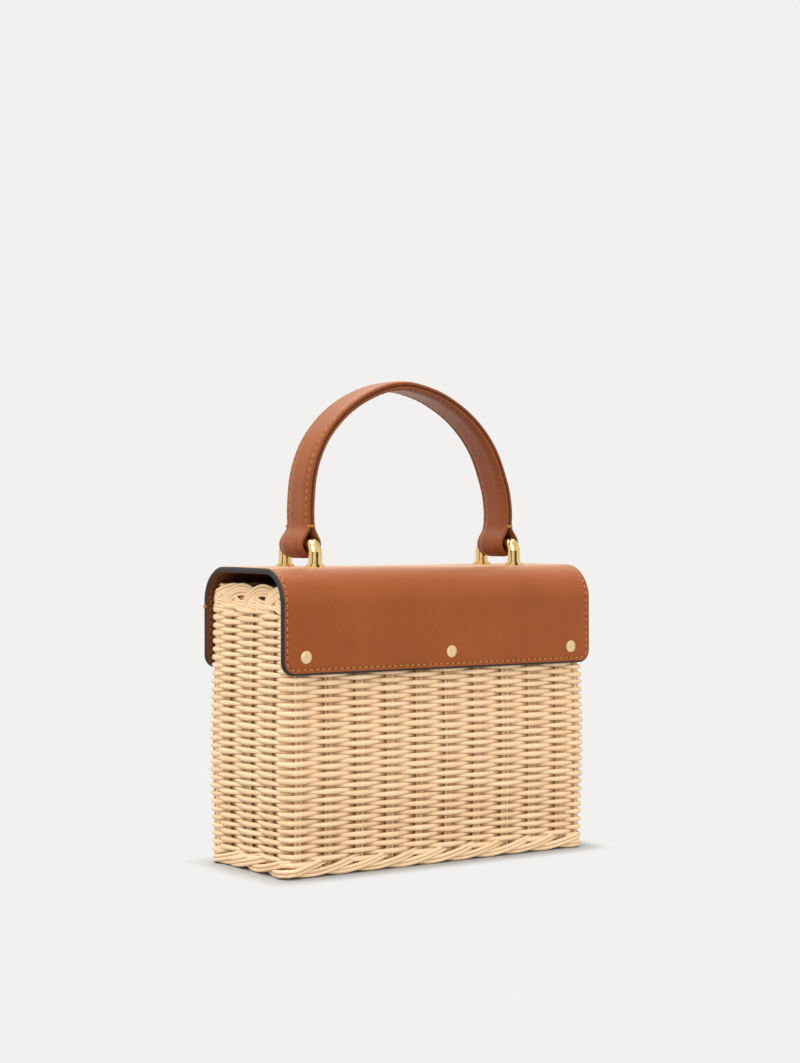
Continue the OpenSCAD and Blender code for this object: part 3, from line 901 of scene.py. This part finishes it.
def strap_section(out, inner):
    """Points (out, across) of a layer from inner to out, and the material of each side."""
    half = STRAP_W / 2
    y = np.linspace(-half + FACE_RIM, half - FACE_RIM, FACE_POINTS)
    rise = np.clip((half - CROWN_RIM - np.abs(y)) / CROWN_SLOPE, 0, 1)
    face = np.stack([out - CROWN * (1 - rise * rise * (3 - 2 * rise)), y], -1)
    rim = out - CROWN
    edge = np.array([(rim - down, half - side) for down, side in RIM_ROUND]
                    + [(inner + up, half - side) for up, side in BACK_ROUND])
    back = np.stack([np.full(FACE_POINTS, inner), y[::-1]], -1)
    points = np.concatenate([face, edge, back, edge[::-1] * (1, -1)])
    materials = ([ON_FACE] * FACE_POINTS + [ON_EDGE, ON_EDGE, ON_SEAM_SHADE, ON_SEAM_SHADE]
                 + [ON_FACE] * FACE_POINTS + [ON_SEAM_SHADE, ON_EDGE, ON_EDGE, ON_EDGE])
    return points, materials


def build_handle():
    """The strap and the lining, and their seam line with its normals and distances."""
    mid, nrm = arch_line()
    run = run_length(mid)
    half_t = STRAP_T / 2
    under = mid - half_t * nrm
    left_in = under[run < RETURN]
    right_in = under[run > run[-1] - RETURN]
    a = np.radians(np.linspace(LOOP_FROM, LOOP_TO, LOOP_POINTS))
    circle = np.stack([np.cos(a), np.sin(a)], -1) * (LOOP_IN_R + half_t)
    path = np.concatenate([left_in[::-1], circle + [-BAR_X, BAR_Z], mid + half_t * nrm,
                           circle + [BAR_X, BAR_Z], right_in[::-1]])
    path_run = run_length(path)
    path = at_distance(np.linspace(0, path_run[-1], STRAP_POINTS), path_run, path)
    for _ in range(SMOOTHINGS):
        path[1:-1] = 0.25 * path[:-2] + 0.5 * path[1:-1] + 0.25 * path[2:]
    strap = Builder()
    sweep(strap, path, *strap_section(half_t, -half_t + SEAM_GAP))
    lining = Builder()
    between = (run > RETURN - LINING_LAP) & (run < run[-1] - RETURN + LINING_LAP)
    sweep(lining, under[between][::-1], *strap_section(half_t - LINING_DROP, -half_t + SEAM_GAP))
    return strap, lining, mid, nrm, run


strap, lining, mid, nrm, run = build_handle()
strap = strap.make("handle_strap_leather", STRAP_MATERIALS)
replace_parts(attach(strap, "lid"), "handle_strap")
lining = lining.make("handle_lining_leather", STRAP_MATERIALS)
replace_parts(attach(lining, "lid"), "handle_lining")

# Stitching of the handle, and tacks over its edges at the pinch
GRIP_PITCH, GRIP_THREAD_R, GRIP_HOLE_R = 4.1, 0.38, 0.45
GRIP_END, GRIP_EDGE, GRIP_UNDER_SINK = 3, 2.3, 0.06
PINCH_TACK_UP, PINCH_TACK_L, PINCH_TACK_LIFT = (0.9, 1.6), 5.0, 0.15


def build_handle_stitches(mid, nrm, run):
    b = Builder()
    length = run[-1] - 2 * GRIP_END
    count = round(length / GRIP_PITCH)
    s = GRIP_END + (np.arange(2 * count) + 0.5) * length / (2 * count)
    line = at_distance(s, run, mid)
    n = unit(at_distance(s, run, nrm))
    level = np.zeros(len(s))
    rim = STRAP_T - CROWN
    for side in (-1, 1):
        y = np.full(len(s), side * (STRAP_W / 2 - GRIP_EDGE))
        for out, flip, thread in ((rim, 1, OVER), (GRIP_UNDER_SINK - rim, -1, UNDER)):
            p = line + out * n
            places = np.stack([p[:, 0], y, p[:, 1]], -1)
            normal = np.stack([flip * n[:, 0], level, flip * n[:, 1]], -1)
            ahead = unit(np.roll(places, -1, 0) - np.roll(places, 1, 0))
            ahead[0], ahead[-1] = ahead[1], ahead[-2]
            add_seam(b, places, ahead, normal, GRIP_THREAD_R, GRIP_HOLE_R, thread)
    for bar_x in (-BAR_X, BAR_X):
        for side in (-1, 1):
            tack = [(bar_x, side * STRAP_W / 2, PINCH_Z + up) for up in PINCH_TACK_UP]
            add_tack(b, tack, (1, 0, 0), (0, side, 0), PINCH_TACK_L, PINCH_TACK_LIFT)
    return b


grip_thread = build_handle_stitches(mid, nrm, run).make("handle_stitching", STITCHING)
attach(grip_thread, "lid")


# Metal pieces, which keep the construction's form

METALS = (
    (PALE_BRASS, ("back_rivets",)),
    (BRASS, ("rivet_washers", "left_staple", "right_staple")),
    (STEEL, ("snap_socket", "snap_backing", "staple_washers", "staple_screws", "snap_stud")),
)
SHARP_FROM = math.radians(32)

for metal, names in METALS:
    for name in names:
        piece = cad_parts[name]
        piece.data.materials.clear()
        piece.data.materials.append(metal)
        piece.data.shade_smooth()
        piece.data.set_sharp_from_angle(angle=SHARP_FROM)


# Stage, in metres: floor, background, light, cards and camera

PALE = (0.888, 0.880, 0.866)
# The floor's colour is darker than the background and paints a faint shade round the bag
FLOOR_COLOUR, FLOOR_HALF = (0.420, 0.417, 0.414), 12.0
SHADOW_REACH = 0.021
DAYLIGHT, DAYLIGHT_STRENGTH = (1.0, 0.985, 0.96), 0.60
LIGHT_TARGET = (0, 0, 0.1)
CARD_COLOUR, CARD_LOW, CARD_HIGH, CARD_DISTANCE = (0.03, 0.028, 0.025), 0.13, 0.34, 0.95
MATT = 0.9

# The camera fits the photograph, whose height and focal length are in pixels
PHOTO_H, PHOTO_FOCAL = 1063.0, 2000.0
SENSOR_H = 36.0
CAMERA_PLACE, CAMERA_BEARING = (-0.6759, -0.9666, 0.1902), 34.9
CLIP_NEAR, CLIP_FAR = 0.05, 60


def background_rays(g):
    """1 for camera, mirror and transmitted rays, which see the pale background."""
    ray = g.node("ShaderNodeLightPath").outputs
    direct = g.calc("MAXIMUM", ray["Is Camera Ray"], ray["Is Glossy Ray"])
    return g.calc("MAXIMUM", direct, ray["Is Transmission Ray"])


def floor_material():
    """Near the bag the floor takes its shadow, and its darker colour adds a painted shade; farther
    off it is as pale as the background.
    """
    mat, g, shader = new_material("floor")
    g.set(shader, Base_Color=FLOOR_COLOUR, Roughness=MATT)
    glow = g.node("ShaderNodeEmission", Color=PALE)
    vector = "ShaderNodeVectorMath"
    half_plan = (LENGTH / 2 * MM, DEPTH / 2 * MM, 0)
    past = g.calc("SUBTRACT", g.calc("ABSOLUTE", g.place(), kind=vector), half_plan, kind=vector)
    beyond = g.calc("MAXIMUM", past, (0, 0, 0), kind=vector)
    far = g.calc("LENGTH", beyond, kind=vector, result="Value")
    fade = g.node("ShaderNodeMapRange", interpolation_type="SMOOTHSTEP", Value=far,
                  From_Max=SHADOW_REACH)
    seen = g.calc("MULTIPLY", fade.outputs[0], background_rays(g))
    both = g.mix_shaders(seen, shader.outputs[0], glow.outputs[0])
    g.set(g.nodes["Material Output"], Surface=both)
    return mat


def add_sheet(name, corners, mat):
    mesh = bpy.data.meshes.new(name)
    mesh.from_pydata(corners, [], [(0, 1, 2, 3)])
    mesh.materials.append(mat)
    return add_object(name, mesh)


def add_floor():
    e = FLOOR_HALF
    corners = [(-e, -e, 0), (e, -e, 0), (e, e, 0), (-e, e, 0)]
    floor = add_sheet("floor", corners, floor_material())


def add_world():
    world = bpy.data.worlds.new("studio")
    bpy.context.scene.world = world
    g = Graph(world)
    light = g.nodes["Background"]
    g.set(light, Color=DAYLIGHT, Strength=DAYLIGHT_STRENGTH)
    seen = g.node("ShaderNodeBackground", Color=PALE)
    both = g.mix_shaders(background_rays(g), light.outputs[0], seen.outputs[0])
    g.set(g.nodes["World Output"], Surface=both)


def add_light(name, place, size, power, mirrored=True):
    lamp = bpy.data.lights.new(name, "AREA")
    lamp.shape = "RECTANGLE"
    lamp.size, lamp.size_y = size
    lamp.energy = power
    obj = add_object(name, lamp)
    obj.location = place
    obj.visible_glossy = mirrored
    dx, dy, dz = np.array(LIGHT_TARGET, float) - np.array(place, float)
    obj.rotation_euler = (math.atan2(math.hypot(dx, dy), -dz), 0, math.atan2(-dx, dy))


def add_card(name, bearing, width):
    """A dark card beside the camera, seen only as a mirror image in the metal."""
    a = math.radians(bearing)
    mid = np.array([math.cos(a), math.sin(a)]) * CARD_DISTANCE
    half = np.array([-math.sin(a), math.cos(a)]) * width / 2
    left, right = mid - half, mid + half
    corners = [(*left, CARD_LOW), (*right, CARD_LOW), (*right, CARD_HIGH), (*left, CARD_HIGH)]
    mat, g, shader = new_material(name)
    g.set(shader, Base_Color=CARD_COLOUR, Roughness=MATT)
    card = add_sheet(name, corners, mat)
    card.visible_camera = card.visible_diffuse = card.visible_shadow = False


def add_camera():
    cam = bpy.data.cameras.new("camera")
    cam.sensor_fit = "VERTICAL"
    cam.sensor_height = SENSOR_H
    cam.lens = SENSOR_H * PHOTO_FOCAL / PHOTO_H
    cam.clip_start, cam.clip_end = CLIP_NEAR, CLIP_FAR
    obj = add_object("camera", cam)
    obj.location = CAMERA_PLACE
    obj.rotation_euler = (math.pi / 2, 0, -math.radians(CAMERA_BEARING))
    bpy.context.scene.camera = obj


add_floor()
add_world()
add_light("key", place=(-1.25, -0.55, 1.0), size=(1.2, 1.2), power=14.5)
add_light("fill", place=(0.6, -1.5, 0.7), size=(1.2, 1.0), power=13.2, mirrored=False)
add_light("top", place=(-0.1, 0.35, 1.35), size=(1.5, 1.0), power=20)
add_card("card_left", bearing=-172, width=0.26)
add_card("card_right", bearing=-92, width=0.70)
add_camera()
bpy.context.scene.view_settings.view_transform = "Standard"
